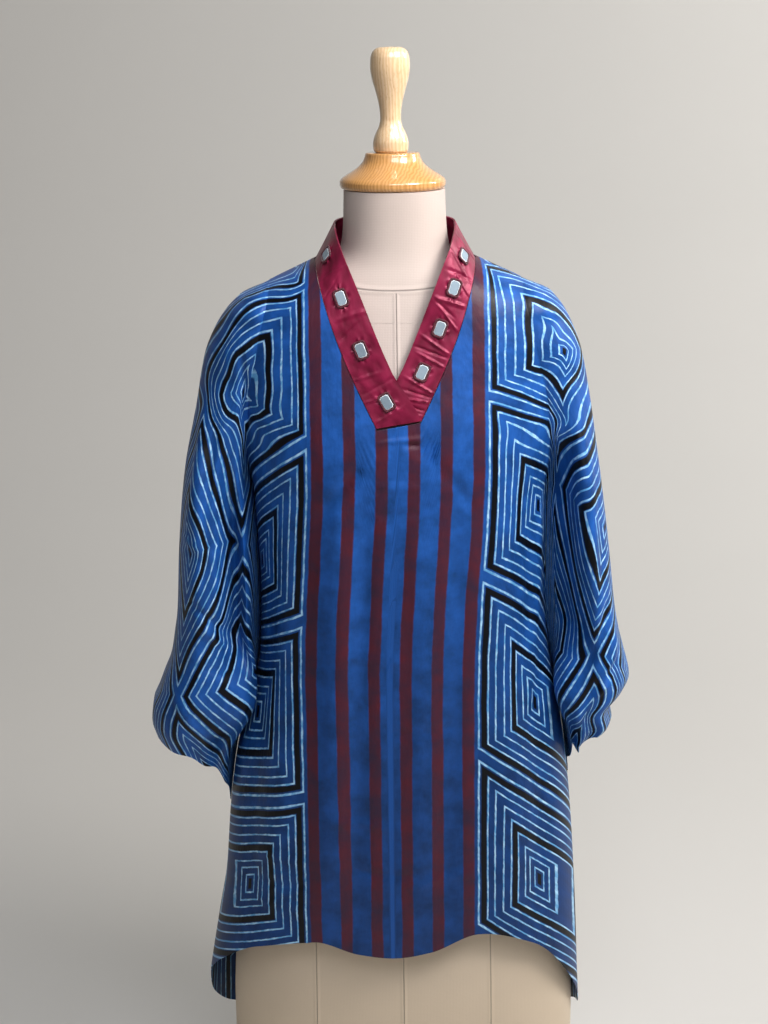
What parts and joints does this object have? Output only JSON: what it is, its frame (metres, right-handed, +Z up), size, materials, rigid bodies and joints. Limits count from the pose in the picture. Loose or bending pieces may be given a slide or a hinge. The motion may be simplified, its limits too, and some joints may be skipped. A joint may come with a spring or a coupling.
{
  "type": "short kaftan on a limbless dress form",
  "caption": "Short V-neck kaftan with batwing sleeves and a mirrored satin neckband, worn on a limbless table-top dress form with a turned wooden cap and finial.",
  "frame": {"origin": "centre of the dress form's flat underside, straight below its neck", "axes": "+X to the viewer's right seen from the front, -Y towards the front, +Z up through the neck"},
  "size_m": [0.5269, 0.2592, 1.2545],
  "materials": {
    "printed_cloth": "soft light viscose, batik style print of concentric rectangles and stripes",
    "neckband_satin": "burgundy satin, glossy",
    "mirror_glass": "silvered glass with a ground edge",
    "form_linen": "natural linen cover, matt",
    "varnished_wood": "pale turned wood, gloss varnish"
  },
  "bodies": {
    "root": {"front": "printed_cloth", "back": "printed_cloth", "neckband_left": "neckband_satin", "neckband_right": "neckband_satin", "mirror_left_1": "mirror_glass", "mirror_left_2": "mirror_glass", "mirror_left_3": "mirror_glass", "mirror_left_4": "mirror_glass", "mirror_right_1": "mirror_glass", "mirror_right_2": "mirror_glass", "mirror_right_3": "mirror_glass", "mirror_right_4": "mirror_glass", "form_torso": "form_linen", "form_neck_cap": "varnished_wood", "form_finial": "varnished_wood"}
  },
  "joints": []
}
